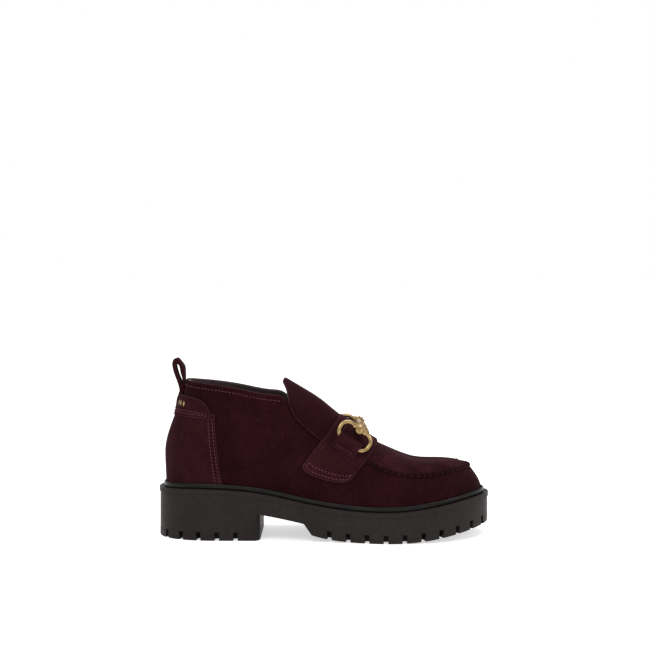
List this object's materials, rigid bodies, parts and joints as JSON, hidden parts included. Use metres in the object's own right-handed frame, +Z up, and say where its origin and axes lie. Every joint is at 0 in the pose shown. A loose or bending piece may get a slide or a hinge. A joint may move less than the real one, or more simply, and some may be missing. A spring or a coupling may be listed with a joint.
{
  "type": "suede loafer boot",
  "caption": "Ankle-height suede loafer boot for the right foot, with a chunky lug sole, saddle strap, snaffle bit, tongue flap and heel pull loop.",
  "frame": {"origin": "on the ground under the middle of the outsole's box", "axes": "+X from heel to toe, +Z up, -Y is the outer side of the right foot"},
  "size_m": [0.2864, 0.098, 0.1519],
  "materials": {
    "rubber_sole": "matte moulded",
    "steel": "rolled",
    "foam": "open cell",
    "gloss_welt": "glossy",
    "board": "matte",
    "sock_leather": "smooth",
    "suede": "napped suede",
    "suede_trim": "napped suede",
    "lining": "smooth",
    "stiffener": "resin-stiffened",
    "tape": "folded tape",
    "elastic": "ribbed",
    "antique_brass": "antiqued"
  },
  "bodies": {
    "shoe": {"outsole": "rubber_sole", "shank": "steel", "bottom_filler": "foam", "welt_rand": "gloss_welt", "insole_board": "board", "sock": "sock_leather", "vamp_wall": "suede", "vamp_lining": "lining", "quarter_lining": "lining", "toe_puff": "stiffener", "heel_stiffener": "stiffener", "collar_padding": "foam", "plug": "suede", "plug_lining": "lining", "counter_patch": "suede_trim", "heel_tab": "suede_trim", "loop_anchor": "tape", "gore_lateral": "elastic", "gore_medial": "elastic", "saddle_strap": "suede_trim", "keeper_strap": "suede_trim", "ring_lateral": "antique_brass", "ring_medial": "antique_brass", "bit_bar": "antique_brass"},
    "tongue": {"tongue": "suede", "tongue_backing": "lining"},
    "pull_loop": {"pull_loop": "tape"}
  },
  "joints": [
    {"name": "tongue_flex", "type": "hinge", "parent": "shoe", "child": "tongue", "pos_m": [0.011, 0, 0.1035], "axis": [0, 1, 0], "range_deg": [0, 20], "stiffness_Nm_per_rad": 0.06},
    {"name": "pull_loop_fold", "type": "hinge", "parent": "shoe", "child": "pull_loop", "pos_m": [-0.1233, 0, 0.1237], "axis": [0, 1, 0], "range_deg": [-50, 0], "stiffness_Nm_per_rad": 0.02}
  ]
}
